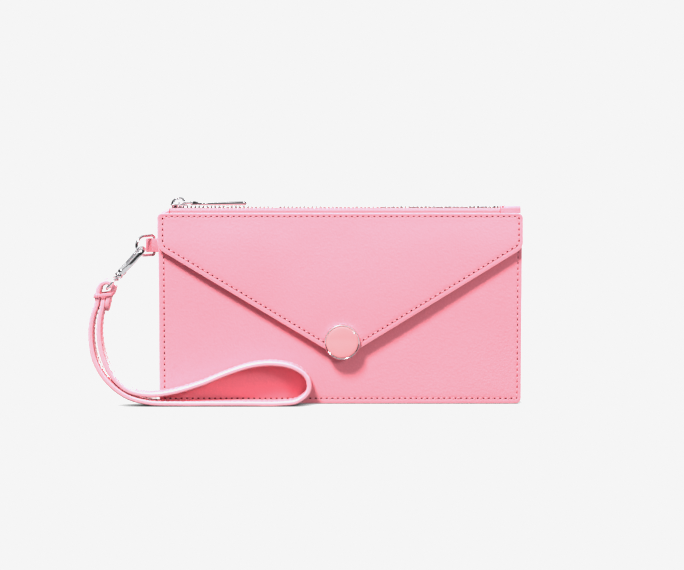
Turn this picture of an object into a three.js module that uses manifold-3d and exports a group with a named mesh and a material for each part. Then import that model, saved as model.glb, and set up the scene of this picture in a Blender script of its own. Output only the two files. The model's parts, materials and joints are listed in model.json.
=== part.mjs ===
// A wristlet wallet: a slim zipped leather case with an envelope flap, closed by a round snap,
// and a flat wrist strap that hangs from a D-ring by a swivel snap hook.
// Millimetres, +Z up, the front faces -Y, and the origin is the middle of the base.
import * as THREE from 'three';
import { mergeVertices } from 'three/addons/utils/BufferGeometryUtils.js';
import Module from 'manifold-3d';

const wasm = await Module();
wasm.setup();

// ---------------------------------------------------------------- driving dimensions
const HALF_WIDTH = 105; // the case is 210 wide
const CASE_HEIGHT = 110.8; // up to the flap's sewn top edge
const CORNER_RADIUS = 3.75;
const TOP_CORNER = 1.5;
const LEATHER = 1.2;
const SHELL_LEATHER = 1.4;
const LINING = 0.4;
const GAP = 0.3; // between pieces that are sewn or pressed together
const THIN_GAP = 0.15; // between two flat sheets laid on each other

// depth, front to back: the y of each layer's front face
const POCKET_FRONT = -5.7;
const MAIN_FRONT = -4.0;
const BACK_FACE = 6.0;
const INSIDE_FRONT = MAIN_FRONT + LEATHER + GAP; // the space between the two main panels
const INSIDE_BACK = BACK_FACE - SHELL_LEATHER - GAP;

// heights
const POCKET_MOUTH = 97;
const FACING_BOTTOM = 99.5;
const GUSSET_TOP = 107.2;
const LINING_TOP = 107;
const CARD_POCKET_TOP = 68;

// flap: an envelope with short straight sides and a point
const FLAP_HALF_WIDTH = 105.3;
const FLAP_HINGE_Z = 106.75;
const FLAP_SHOULDER_Z = 90.5;
const FLAP_POINT = { x: 1.2, z: 26.5 };
const FLAP_TIP_RADIUS = 8;
const FLAP_SHOULDER_RADIUS = 4;
const FLAP_FRONT = -7.7; // also the hinge line's y
const FLAP_LEAN = THREE.MathUtils.degToRad(2); // the snap holds the point off the pocket
const FLAP_LINING_Y = LEATHER + THIN_GAP;
const FLAP_BACK_Y = FLAP_LINING_Y + LINING;

// snap and its round medallion, in the flap's plane
const CLASP_X = 1.2;
const CLASP_Z = 36.5;
const CLASP_RADIUS = 10.3;
const SNAP_RADIUS = 5.5;
const STUD_THICKNESS = 1.1;
const SOCKET_THICKNESS = 0.9;

// zip
const ZIP_Y = (INSIDE_FRONT + INSIDE_BACK) / 2;
const ZIP_LEFT = -97.5;
const ZIP_RIGHT = 90.5;
const TOOTH_PITCH = 2.34;
const TOOTH_LENGTH = 1.0;
const TEETH_Z = 113.9;
const TEETH_HEIGHT = 1.6;
const TEETH_TOP = TEETH_Z + TEETH_HEIGHT / 2;
const TAPE = 0.5;
const STOP_LENGTH = 1.2;
const STOP_HALF_WIDTH = 1.7;

// zip slider, link and pull tab
const SLIDER_LENGTH = 10.2;
const SLIDER_WING = 4.5; // how much of its length has the full width
const SLIDER_PLATE = 0.7;
const BRIDGE_OUTSIDE = 4.8; // radius of its hoop
const BRIDGE_INSIDE = 3.4;
const BRIDGE_WIDTH = 1.4;
const LINK_WIRE = 0.5; // radius
const LINK_HALF_WIDTH = 1.45;
const LINK_LENGTH = 7.6;
const PULL_LENGTH = 31.5;
const PULL_EYE = 1.3; // half the tab's height round its eye

// D-ring and its tab on the left side
const RING_BAR = { x: -107.9, y: -0.6, z: 92 };
const RING_WIRE = 0.8; // radius
const RING_HALF_HEIGHT = 5.6;
const RING_STRAIGHT = 7.4;
const RING_TURN = THREE.MathUtils.degToRad(45); // it stands turned forward

// the hook hangs on the ring at LINK, and the strap on the hook's eye at EYE
const LINK = new THREE.Vector3(-116.0, -8.7, 88.2);
const EYE = new THREE.Vector3(-133.9, -12.3, 67.7);
const EYE_BAR = 0.75; // half its thickness
const HOOK_THICKNESS = 2.8;
const HOOK_TURN = THREE.MathUtils.degToRad(15); // on its swivel, away from the eye's plane
const GATE_PIN = { x: -3.4, z: -11.4, radius: 0.45 }; // in the hook's own frame
const GATE_PIN_HOLE = 0.6; // radius
const EYE_HALF_WIDTH = 8.4;
const EYE_SLOT = 6.8; // half its opening

// wrist strap
const STRAP_WIDTH = 11;
const STRAP_THICKNESS = 2.7;
const STRAP_STEPS = 78;
const STRAP_SIDE_Y = EYE.y - STRAP_WIDTH / 2;
const KEEPER = { x0: -140.8, x1: -130.2, z0: 62.6, z1: 65.0, band: 0.9 }; // inside, and its leather
// the strap's middle line in the X-Z plane: from its end under the keeper, down and round
// the wrist loop, back along the ground, up round the hook's eye, and down to its other end
const STRAP_ROUTE = [
  [-135.9, 64.9], [-136.2, 58.5], [-137.9, 50.5], [-138.4, 41.0], [-136.7, 30.0],
  [-131.4, 17.8], [-122.8, 9.5], [-111.5, 6.6], [-98.5, 7.7], [-81.0, 12.6],
  [-64.5, 19.3], [-51.5, 23.4], [-38.5, 24.7], [-26.0, 22.2], [-18.8, 16.3],
  [-18.1, 8.9], [-24.3, 3.0], [-35.0, 1.45], [-54.5, 1.45], [-75.0, 1.45],
  [-95.0, 1.45], [-110.0, 2.1], [-122.9, 5.8], [-134.2, 14.9], [-141.0, 26.5],
  [-143.2, 40.0], [-142.1, 51.5], [-139.2, 60.4], [-138.9, 65.2], [-137.5, 70.0],
  [-134.2, 72.0], [-130.9, 70.6], [-130.0, 67.6], [-132.3, 64.3], [-133.1, 61.2],
  [-134.0, 55.2],
];

// ---------------------------------------------------------------- materials
const finish = (color, roughness, metalness) =>
  new THREE.MeshStandardMaterial({ color, roughness, metalness });
const leather = finish('#f4b2c4', 0.5, 0);
const leatherInside = finish('#efa3b6', 0.6, 0);
const liningCloth = finish('#e9a6b8', 0.9, 0);
const tapeCloth = finish('#f2a9ba', 0.85, 0);
const chrome = finish('#e4e4e6', 0.15, 1);
const steel = finish('#c9c9cc', 0.3, 1);
const enamel = finish('#f5b9be', 0.2, 0);

// ---------------------------------------------------------------- helpers
const object = new THREE.Group();

function add(name, geometry, material, parent = object) {
  const mesh = new THREE.Mesh(geometry, material);
  mesh.name = name;
  parent.add(mesh);
  return mesh;
}

function toSolid(geometry) {
  const bare = geometry.clone();
  bare.deleteAttribute('normal');
  bare.deleteAttribute('uv');
  const merged = mergeVertices(bare, 1e-4);
  return new wasm.Manifold(new wasm.Mesh({
    numProp: 3,
    vertProperties: new Float32Array(merged.attributes.position.array),
    triVerts: new Uint32Array(merged.index.array),
  }));
}

function toGeometry(solid) {
  const { vertProperties, triVerts } = solid.getMesh();
  const geometry = new THREE.BufferGeometry();
  geometry.setAttribute('position', new THREE.BufferAttribute(new Float32Array(vertProperties), 3));
  geometry.setIndex(new THREE.BufferAttribute(new Uint32Array(triVerts), 1));
  geometry.computeVertexNormals();
  return geometry;
}

function joined(...geometries) {
  return toGeometry(geometries.map(toSolid).reduce((all, next) => all.add(next)));
}

function cut(geometry, ...tools) {
  const whole = toSolid(geometry);
  return toGeometry(tools.map(toSolid).reduce((left, tool) => left.subtract(tool), whole));
}

// A box between two corners.
function block(x0, x1, y0, y1, z0, z1) {
  const box = new THREE.BoxGeometry(x1 - x0, y1 - y0, z1 - z0);
  return box.translate((x0 + x1) / 2, (y0 + y1) / 2, (z0 + z1) / 2);
}

// A cylinder round an axis through the given middle: axis is 'x', 'y' or 'z'.
function rod(radius, length, axis, x, y, z, sides = 20) {
  const cylinder = new THREE.CylinderGeometry(radius, radius, length, sides);
  if (axis === 'x') cylinder.rotateZ(Math.PI / 2);
  if (axis === 'z') cylinder.rotateX(Math.PI / 2);
  return cylinder.translate(x, y, z);
}

// A shape drawn in X and Z, made thick along +Y from front.
function slab(shape, front, thickness, curveSegments = 5) {
  const options = { depth: thickness, bevelEnabled: false, curveSegments };
  const geometry = new THREE.ExtrudeGeometry(shape, options);
  return geometry.rotateX(Math.PI / 2).translate(0, front + thickness, 0);
}

// A shape drawn in Y and Z, made long along X.
function rail(shape, x0, x1) {
  const geometry = new THREE.ExtrudeGeometry(shape, { depth: x1 - x0, bevelEnabled: false });
  geometry.applyMatrix4(new THREE.Matrix4().set(0, 0, 1, x0, 1, 0, 0, 0, 0, 1, 0, 0, 0, 0, 0, 1));
  return geometry;
}

function polygon(points) {
  return new THREE.Shape(points.map(([x, y]) => new THREE.Vector2(x, y)));
}

// A rectangle with its own radius for the bottom and for the top corners.
function panelShape(halfWidth, z0, z1, bottomRadius, topRadius) {
  const shape = new THREE.Shape();
  shape.moveTo(-halfWidth + bottomRadius, z0);
  shape.lineTo(halfWidth - bottomRadius, z0);
  shape.absarc(halfWidth - bottomRadius, z0 + bottomRadius, bottomRadius, -Math.PI / 2, 0);
  shape.absarc(halfWidth - topRadius, z1 - topRadius, topRadius, 0, Math.PI / 2);
  shape.absarc(-halfWidth + topRadius, z1 - topRadius, topRadius, Math.PI / 2, Math.PI);
  shape.absarc(-halfWidth + bottomRadius, z0 + bottomRadius, bottomRadius, Math.PI, 1.5 * Math.PI);
  return shape;
}

// A polygon whose corners are rounded by quadratic curves: each corner is [x, y, radius].
function roundedPolygon(corners) {
  const shape = new THREE.Shape();
  corners.forEach(([x, y, radius], i) => {
    const corner = new THREE.Vector2(x, y);
    const before = new THREE.Vector2(...corners.at(i - 1));
    const after = new THREE.Vector2(...corners[(i + 1) % corners.length]);
    const start = before.sub(corner).setLength(radius).add(corner);
    const end = after.sub(corner).setLength(radius).add(corner);
    if (i === 0) shape.moveTo(start.x, start.y);
    else shape.lineTo(start.x, start.y);
    shape.quadraticCurveTo(x, y, end.x, end.y);
  });
  return shape;
}

// ---------------------------------------------------------------- case
function buildPanels() {
  const outline = (top, topRadius) => panelShape(HALF_WIDTH, 0, top, CORNER_RADIUS, topRadius);
  const back = outline(CASE_HEIGHT, TOP_CORNER);
  add('back_panel', slab(back, BACK_FACE - SHELL_LEATHER, SHELL_LEATHER), leather);
  const front = outline(CASE_HEIGHT - 0.2, TOP_CORNER);
  add('main_front_panel', slab(front, MAIN_FRONT, LEATHER), leather);
  const pocketDepth = MAIN_FRONT - GAP - POCKET_FRONT;
  add('front_pocket_panel', slab(outline(POCKET_MOUTH, 0.8), POCKET_FRONT, pocketDepth), leather);
  const facing = panelShape(HALF_WIDTH, FACING_BOTTOM, CASE_HEIGHT - GAP, 0.5, 1.2);
  add('flap_facing_strip', slab(facing, POCKET_FRONT, pocketDepth), leather);
}

// The gusset is one strip that runs down one side, along the base and up the other side.
function buildGusset() {
  const outer = HALF_WIDTH - 1.4;
  const inner = outer - LEATHER;
  const shape = new THREE.Shape();
  shape.moveTo(-outer, GUSSET_TOP);
  shape.lineTo(-outer, CORNER_RADIUS);
  shape.absarc(-outer + CORNER_RADIUS, CORNER_RADIUS, CORNER_RADIUS, Math.PI, 1.5 * Math.PI);
  shape.absarc(outer - CORNER_RADIUS, CORNER_RADIUS, CORNER_RADIUS, -Math.PI / 2, 0);
  shape.lineTo(outer, GUSSET_TOP);
  shape.lineTo(inner, GUSSET_TOP);
  const insideRadius = CORNER_RADIUS - LEATHER;
  shape.absarc(inner - insideRadius, CORNER_RADIUS, insideRadius, 0, -Math.PI / 2, true);
  shape.absarc(-inner + insideRadius, CORNER_RADIUS, insideRadius, -Math.PI / 2, -Math.PI, true);
  shape.lineTo(-inner, GUSSET_TOP);
  add('gusset', slab(shape, INSIDE_FRONT, INSIDE_BACK - INSIDE_FRONT), leather);
}

function buildLinings() {
  const halfWidth = HALF_WIDTH - 3;
  const lining = panelShape(halfWidth, 1.6, LINING_TOP, 2.4, 1);
  add('lining_front', slab(lining, INSIDE_FRONT, LINING), liningCloth);
  add('lining_back', slab(lining, INSIDE_BACK - LINING, LINING), liningCloth);
  const cardPocket = panelShape(halfWidth - 1, 2.4, CARD_POCKET_TOP, 2, 1);
  const cardPocketFront = INSIDE_BACK - LINING - THIN_GAP - 2 * LINING;
  add('inner_card_pocket', slab(cardPocket, cardPocketFront, 2 * LINING), liningCloth);
}

// ---------------------------------------------------------------- flap
function flapShape() {
  const { x, z } = FLAP_POINT;
  const top = -THIN_GAP;
  const shoulder = FLAP_SHOULDER_Z - FLAP_HINGE_Z;
  return roundedPolygon([
    [-FLAP_HALF_WIDTH, top, 0.3],
    [-FLAP_HALF_WIDTH, shoulder, FLAP_SHOULDER_RADIUS],
    [x, z - FLAP_HINGE_Z, FLAP_TIP_RADIUS],
    [FLAP_HALF_WIDTH, shoulder, FLAP_SHOULDER_RADIUS],
    [FLAP_HALF_WIDTH, top, 0.3],
  ]);
}

function buildFlap() {
  const root = panelShape(HALF_WIDTH, FLAP_HINGE_Z + THIN_GAP, CASE_HEIGHT, 0.3, TOP_CORNER);
  add('flap_root_strip', slab(root, FLAP_FRONT, FLAP_BACK_Y), leather);

  const flap = new THREE.Group();
  flap.position.set(0, FLAP_FRONT, FLAP_HINGE_Z);
  flap.rotation.x = -FLAP_LEAN;
  object.add(flap);
  add('flap_outer', slab(flapShape(), 0, LEATHER), leather, flap);
  add('flap_lining', slab(flapShape(), FLAP_LINING_Y, LINING), leatherInside, flap);

  const drop = CLASP_Z - FLAP_HINGE_Z;
  const studY = FLAP_BACK_Y + THIN_GAP + STUD_THICKNESS / 2;
  const stud = rod(SNAP_RADIUS, STUD_THICKNESS, 'y', CLASP_X, studY, drop, 32);
  add('snap_stud', stud, steel, flap);
  const socketY = POCKET_FRONT - THIN_GAP - SOCKET_THICKNESS / 2;
  const socket = rod(SNAP_RADIUS, SOCKET_THICKNESS, 'y', CLASP_X, socketY, CLASP_Z, 32);
  add('snap_socket', socket, steel);

  // lathe profiles: x is the radius, y the height above the flap's face
  const dish = polygon([
    [0, THIN_GAP], [CLASP_RADIUS - 0.4, THIN_GAP], [CLASP_RADIUS, 0.6], [CLASP_RADIUS - 0.1, 1.9],
    [CLASP_RADIUS - 0.5, 2.25], [CLASP_RADIUS - 1.0, 2.1], [CLASP_RADIUS - 1.1, 0.9], [0, 0.9],
  ]).getPoints();
  const pillowEdge = CLASP_RADIUS - 1.25;
  const pillow = polygon([
    [0, 1.05], [pillowEdge, 1.05], [pillowEdge, 1.6], [pillowEdge * 0.8, 2.05],
    [pillowEdge * 0.5, 2.3], [0, 2.4],
  ]).getPoints();
  const round = (profile) => new THREE.LatheGeometry(profile, 36).rotateX(Math.PI);
  add('clasp_rim', round(dish).translate(CLASP_X, 0, drop), chrome, flap);
  add('clasp_enamel', round(pillow).translate(CLASP_X, 0, drop), enamel, flap);
}

// ---------------------------------------------------------------- zip
// side is -1 for the front half and +1 for the back half
function tapeShape(side) {
  const leg = side * (INSIDE_BACK - ZIP_Y);
  const at = (across, z) => [ZIP_Y + across, z];
  return polygon([
    at(leg, LINING_TOP + GAP), at(leg, TEETH_Z + TAPE / 2), at(side * 2.05, TEETH_Z + TAPE / 2),
    at(side * 2.05, TEETH_Z - TAPE / 2), at(leg - side * TAPE, TEETH_Z - TAPE / 2),
    at(leg - side * TAPE, LINING_TOP + GAP),
  ]);
}

// One half's teeth are a comb: its spine is the tape's bead, and the other half's teeth stand
// between its own.
function teethRow(side) {
  const bead = [ZIP_Y + side * 1.9, ZIP_Y + side * 1.05];
  const tips = ZIP_Y + side * 0.35;
  const comb = [
    [ZIP_LEFT, bead[1]], [ZIP_LEFT, bead[0]], [ZIP_RIGHT, bead[0]], [ZIP_RIGHT, bead[1]],
  ];
  const start = ZIP_LEFT + TOOTH_LENGTH / 2 + (side > 0 ? TOOTH_PITCH / 2 : 0);
  const count = Math.floor((ZIP_RIGHT - TOOTH_LENGTH - start) / TOOTH_PITCH);
  for (let tooth = count; tooth >= 0; tooth -= 1) {
    const x = start + tooth * TOOTH_PITCH;
    comb.push([x + TOOTH_LENGTH, bead[1]], [x + TOOTH_LENGTH, tips], [x, tips], [x, bead[1]]);
  }
  const options = { depth: TEETH_HEIGHT, bevelEnabled: false };
  const row = new THREE.ExtrudeGeometry(polygon(comb), options);
  return row.translate(0, 0, TEETH_Z - TEETH_HEIGHT / 2);
}

function buildZip() {
  for (const [side, name] of [[-1, 'front'], [1, 'back']]) {
    add(`zip_tape_${name}`, rail(tapeShape(side), ZIP_LEFT - 0.8, ZIP_RIGHT + 1.9), tapeCloth);
    add(`zip_teeth_${name}`, teethRow(side), chrome);
  }
  const [near, far] = [ZIP_Y - STOP_HALF_WIDTH, ZIP_Y + STOP_HALF_WIDTH];
  const stopX = ZIP_RIGHT + GAP;
  const stopBottom = TEETH_Z - TEETH_HEIGHT / 2;
  const stop = block(stopX, stopX + STOP_LENGTH, near, far, stopBottom, TEETH_TOP);
  add('zip_bottom_stop', stop, chrome);

  // folded leather ends, over the tapes' ends
  const fold = (top) => {
    const [front, back, bottom] = [INSIDE_FRONT, INSIDE_BACK, GUSSET_TOP + GAP];
    return polygon([
      [front, bottom], [front, top - 0.8], [front + 0.8, top], [back - 0.8, top], [back, top - 0.8],
      [back, bottom], [back - LEATHER, bottom], [back - LEATHER, top - LEATHER],
      [front + LEATHER, top - LEATHER], [front + LEATHER, bottom],
    ]);
  };
  add('zip_end_tab_left', rail(fold(CASE_HEIGHT - 0.4), -HALF_WIDTH + 0.7, ZIP_LEFT - 1.1), leather);
  add('zip_end_tab_right', rail(fold(TEETH_TOP), ZIP_RIGHT + 2.2, HALF_WIDTH - 0.7), leather);
}

function buildSlider() {
  const left = ZIP_LEFT - 0.8;
  const right = left + SLIDER_LENGTH;
  const middle = (left + right) / 2;
  const plateZ = TEETH_TOP + GAP;
  const plate = (halfWidth, z0, z1) => {
    const waist = halfWidth * 0.72;
    const shape = roundedPolygon([
      [left, -halfWidth, 1], [left + SLIDER_WING, -halfWidth, 1], [right, -waist, 0.8],
      [right, waist, 0.8], [left + SLIDER_WING, halfWidth, 1], [left, halfWidth, 1],
    ]);
    const options = { depth: z1 - z0, bevelEnabled: false, curveSegments: 4 };
    return new THREE.ExtrudeGeometry(shape, options).translate(0, ZIP_Y, z0);
  };
  const upper = plate(3.2, plateZ, plateZ + SLIDER_PLATE);
  const lower = plate(2.4, TEETH_Z - 2.3, TEETH_Z - 1.2);
  const web = block(left + 0.6, left + 4, ZIP_Y - 0.1, ZIP_Y + 0.1, TEETH_Z - 1.8, plateZ + 0.4);
  const crown = new THREE.Shape();
  crown.absarc(middle, plateZ + 0.2, BRIDGE_OUTSIDE, 0, Math.PI);
  const window = new THREE.Path();
  window.absarc(middle, plateZ + SLIDER_PLATE, BRIDGE_INSIDE, 0, Math.PI);
  crown.holes.push(window);
  const bridge = slab(crown, ZIP_Y - BRIDGE_WIDTH / 2, BRIDGE_WIDTH, 12);
  add('slider_body', joined(upper, lower, web, bridge), chrome);
  return { bridgeX: middle, bridgeZ: plateZ + 1.4 };
}

// A link hangs in the slider's bridge, and the slim pull tab hangs in the link.
function buildPull({ bridgeX, bridgeZ }) {
  const halfGap = LINK_HALF_WIDTH;
  const pullX = bridgeX + LINK_LENGTH;
  const corner = (x, y) => new THREE.Vector3(x, ZIP_Y + y, bridgeZ);
  const loop = [
    corner(bridgeX, 0), corner(bridgeX, halfGap * 0.7), corner(bridgeX + 0.6, halfGap),
    corner(pullX - 0.6, halfGap), corner(pullX, halfGap * 0.7), corner(pullX, 0),
    corner(pullX, -halfGap * 0.7), corner(pullX - 0.6, -halfGap), corner(bridgeX + 0.6, -halfGap),
    corner(bridgeX, -halfGap * 0.7),
  ];
  const link = new THREE.CatmullRomCurve3(loop, true, 'centripetal');
  add('pull_link', new THREE.TubeGeometry(link, 32, LINK_WIRE, 8, true), chrome);

  // the tab's side view, in X and Z: it swells towards its free end
  const end = pullX + PULL_LENGTH;
  const side = new THREE.Shape();
  side.moveTo(pullX - PULL_EYE, bridgeZ);
  side.absarc(pullX, bridgeZ, PULL_EYE, Math.PI, Math.PI / 2, true);
  side.lineTo(pullX + 8, bridgeZ + 0.2);
  side.quadraticCurveTo(end - 8, bridgeZ + 0.5, end - 0.6, bridgeZ + 1.1);
  side.lineTo(end, bridgeZ + 0.5);
  side.lineTo(end, bridgeZ - 1.0);
  side.lineTo(end - 0.6, bridgeZ - PULL_EYE);
  side.lineTo(pullX, bridgeZ - PULL_EYE);
  side.absarc(pullX, bridgeZ, PULL_EYE, -Math.PI / 2, -Math.PI, true);
  const plan = roundedPolygon([
    [pullX - 2, -0.75, 0.2], [pullX + 1.4, -0.75, 0.4], [pullX + 6, -1.7, 2], [end, -2.5, 1.6],
    [end, 2.5, 1.6], [pullX + 6, 1.7, 2], [pullX + 1.4, 0.75, 0.4], [pullX - 2, 0.75, 0.2],
  ]);
  const options = { depth: 6, bevelEnabled: false, curveSegments: 6 };
  const fromAbove = new THREE.ExtrudeGeometry(plan, options);
  const outline = toSolid(fromAbove.translate(0, ZIP_Y, bridgeZ - 3));
  const swelling = toSolid(slab(side, ZIP_Y - 3, 6));
  const eye = toSolid(rod(LINK_WIRE + 0.3, 4, 'y', pullX, ZIP_Y, bridgeZ, 16));
  add('pull_tab', toGeometry(swelling.intersect(outline).subtract(eye)), chrome);
}

// ---------------------------------------------------------------- ring, hook and strap
// The tab is a strip folded round the ring's bar; its tunnel runs up and down.
function buildRingTab() {
  const { x, y, z } = RING_BAR;
  const tunnel = RING_WIRE + 0.15;
  const outside = tunnel + 0.95;
  const halfHeight = 4.1;
  const root = -HALF_WIDTH + 1.4 - GAP;
  const turnX = x - 4.8 + outside; // the middle of the fold's round end
  const flat = new THREE.Shape();
  flat.moveTo(root, y - outside);
  flat.lineTo(root, y + outside);
  flat.lineTo(turnX, y + outside);
  flat.absarc(turnX, y, outside, Math.PI / 2, 1.5 * Math.PI);
  const hole = new THREE.Path();
  hole.moveTo(x + 1.3, y - tunnel);
  hole.lineTo(turnX, y - tunnel);
  hole.absarc(turnX, y, tunnel, -Math.PI / 2, Math.PI / 2, true);
  hole.lineTo(x + 1.3, y + tunnel);
  flat.holes.push(hole);
  const strip = new THREE.ExtrudeGeometry(flat, { depth: 2 * halfHeight, bevelEnabled: false });
  add('ring_tab', strip.translate(0, 0, z - halfHeight), leather);
}

function buildRing() {
  const outwards = new THREE.Vector3(-Math.cos(RING_TURN), -Math.sin(RING_TURN), 0);
  const at = (out, up) => outwards.clone().multiplyScalar(out)
    .add(new THREE.Vector3(RING_BAR.x, RING_BAR.y, RING_BAR.z + up));
  const half = RING_HALF_HEIGHT;
  const points = [at(0, 0), at(0, half - 0.9), at(0.9, half), at(RING_STRAIGHT / 2, half)];
  for (let angle = 90; angle >= -90; angle -= 30) {
    const turn = THREE.MathUtils.degToRad(angle);
    points.push(at(RING_STRAIGHT + half * Math.cos(turn), half * Math.sin(turn)));
  }
  points.push(at(RING_STRAIGHT / 2, -half), at(0.9, -half), at(0, -half + 0.9));
  const curve = new THREE.CatmullRomCurve3(points, true, 'centripetal');
  add('d_ring', new THREE.TubeGeometry(curve, 48, RING_WIRE, 8, true), chrome);
}

// In the hook's own frame +Z runs from the strap's eye to the nose, +X is the spine's side,
// +Y is across the hook, and the origin is where the ring's wire lies.
function hookFrame() {
  const up = LINK.clone().sub(EYE).normalize();
  const across = up.clone().cross(new THREE.Vector3(0, -1, 0)).normalize();
  const spine = across.clone().cross(up).normalize();
  const frame = new THREE.Group();
  const turn = new THREE.Matrix4().makeBasis(spine, across, up);
  frame.quaternion.setFromRotationMatrix(turn);
  frame.position.copy(LINK);
  object.add(frame);
  return frame;
}

function buildHook() {
  const frame = hookFrame();
  const half = HOOK_THICKNESS / 2;
  const hook = new THREE.Group();
  hook.rotation.z = HOOK_TURN;
  frame.add(hook);

  const claw = new THREE.Shape();
  claw.moveTo(-4.6, -0.9);
  claw.lineTo(-4.6, 0.2);
  claw.bezierCurveTo(-4.4, 3.2, -2.2, 4.5, 0.2, 4.5);
  claw.bezierCurveTo(3.4, 4.5, 5.1, 2.4, 5.1, -0.8);
  claw.lineTo(5.1, -8.2);
  claw.bezierCurveTo(5.1, -11.8, 2.5, -12.6, 2.4, -15.2);
  claw.lineTo(-2.4, -15.2);
  claw.lineTo(-4.6, -13.2);
  claw.lineTo(-4.6, -9.7);
  claw.lineTo(1.7, -9.7);
  claw.quadraticCurveTo(2.9, -9.7, 2.9, -8.3);
  claw.lineTo(2.9, -0.8);
  claw.bezierCurveTo(2.9, 1.3, 1.7, 2.4, 0.2, 2.4);
  claw.bezierCurveTo(-1.4, 2.4, -2.7, 1.3, -2.7, -0.9);
  const barrelProfile = [[0, -18.4], [2.0, -18.4], [2.4, -18.0], [2.4, -16.6], [2.0, -16.3],
    [2.0, -15.8], [2.4, -15.5], [2.4, -13.0], [0, -13.0]];
  const barrelPoints = polygon(barrelProfile).getPoints();
  const barrel = new THREE.LatheGeometry(barrelPoints, 24).rotateX(Math.PI / 2);
  const blank = joined(slab(claw, -half, 2 * half, 6), barrel);
  const stemBore = rod(1.2, 11, 'z', 0, 0, -14.2);
  const footSlot = block(-6, -2.05, -0.9, 0.9, -13.5, -9);
  const pinHole = () => rod(GATE_PIN_HOLE, 6, 'y', GATE_PIN.x, 0, GATE_PIN.z);
  add('hook_body', cut(blank, stemBore, footSlot, pinHole()), chrome, hook);
  const pin = rod(GATE_PIN.radius, 2 * half, 'y', GATE_PIN.x, 0, GATE_PIN.z, 16);
  add('gate_pin', pin, steel, hook);

  const bladeShape = polygon([
    [-4.4, -9.4], [-4.4, -4.2], [-5.3, -3.4], [-5.3, -2.4], [-4.4, -1.6], [-4.4, -1.25],
    [-2.7, -1.25], [-2.7, -9.4],
  ]);
  const footShape = polygon([
    [-4.4, -12.4], [-4.4, -9.0], [-2.7, -9.0], [-2.7, -10.2], [-2.4, -10.8], [-2.4, -12.0],
    [-2.8, -12.4],
  ]);
  const gate = joined(slab(bladeShape, -half + 0.1, 2 * half - 0.2), slab(footShape, -0.6, 1.2));
  add('hook_gate', cut(gate, pinHole()), chrome, hook);

  // the eye: a stem riveted in the barrel, and a square ring for the strap
  const eyeZ = -LINK.distanceTo(EYE);
  const ringShape = roundedPolygon([
    [-EYE_HALF_WIDTH, eyeZ - EYE_BAR, 2], [EYE_HALF_WIDTH, eyeZ - EYE_BAR, 2],
    [EYE_HALF_WIDTH, -19.9, 2.4], [2.4, -18.8, 1], [-2.4, -18.8, 1], [-EYE_HALF_WIDTH, -19.9, 2.4],
  ]);
  const slot = new THREE.Path(roundedPolygon([
    [-EYE_SLOT, eyeZ + EYE_BAR, 0.8], [EYE_SLOT, eyeZ + EYE_BAR, 0.8],
    [EYE_SLOT, -20.9, 0.8], [-EYE_SLOT, -20.9, 0.8],
  ]).getPoints(4));
  ringShape.holes.push(slot);
  const ring = slab(ringShape, -EYE_BAR, 2 * EYE_BAR, 4);
  const stem = rod(0.9, 10.8, 'z', 0, 0, -14.3);
  const head = rod(1.5, 0.8, 'z', 0, 0, -9.0);
  add('swivel_eye', joined(ring, stem, head), chrome, frame);
}

// A plane band: the route's middle line, made thick on both sides, as wide as the strap.
function buildStrap() {
  const middle = new THREE.CatmullRomCurve3(
    STRAP_ROUTE.map(([x, z]) => new THREE.Vector3(x, z, 0)), false, 'centripetal');
  const left = [];
  const right = [];
  for (let step = 0; step <= STRAP_STEPS; step += 1) {
    const along = middle.getUtoTmapping(step / STRAP_STEPS);
    const point = middle.getPoint(along);
    const ahead = middle.getTangent(along);
    const offset = new THREE.Vector2(-ahead.y, ahead.x).multiplyScalar(STRAP_THICKNESS / 2);
    left.push(new THREE.Vector2(point.x, point.y).add(offset));
    right.unshift(new THREE.Vector2(point.x, point.y).sub(offset));
  }
  add('wrist_strap', slab(new THREE.Shape([...left, ...right]), STRAP_SIDE_Y, STRAP_WIDTH), leather);

  // the keeper holds the strap's three layers together just under the eye
  const { x0, x1, z0, z1, band } = KEEPER;
  const front = STRAP_SIDE_Y - GAP;
  const back = STRAP_SIDE_Y + STRAP_WIDTH + GAP;
  const whole = block(x0 - band, x1 + band, front - band, back + band, z0, z1);
  const inside = block(x0, x1, front, back, z0 - 2.6, z1 + 1);
  add('strap_keeper', cut(whole, inside), leather);
}

buildPanels();
buildGusset();
buildLinings();
buildFlap();
buildZip();
buildPull(buildSlider());
buildRingTab();
buildRing();
buildHook();
buildStrap();

export default object;
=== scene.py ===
"""The looks of a wristlet wallet: stitched pink leather, a metal zip, chrome hardware, and a
flat wrist strap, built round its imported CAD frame. Metres, +Z up, the front faces -Y."""

import json
import math

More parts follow.
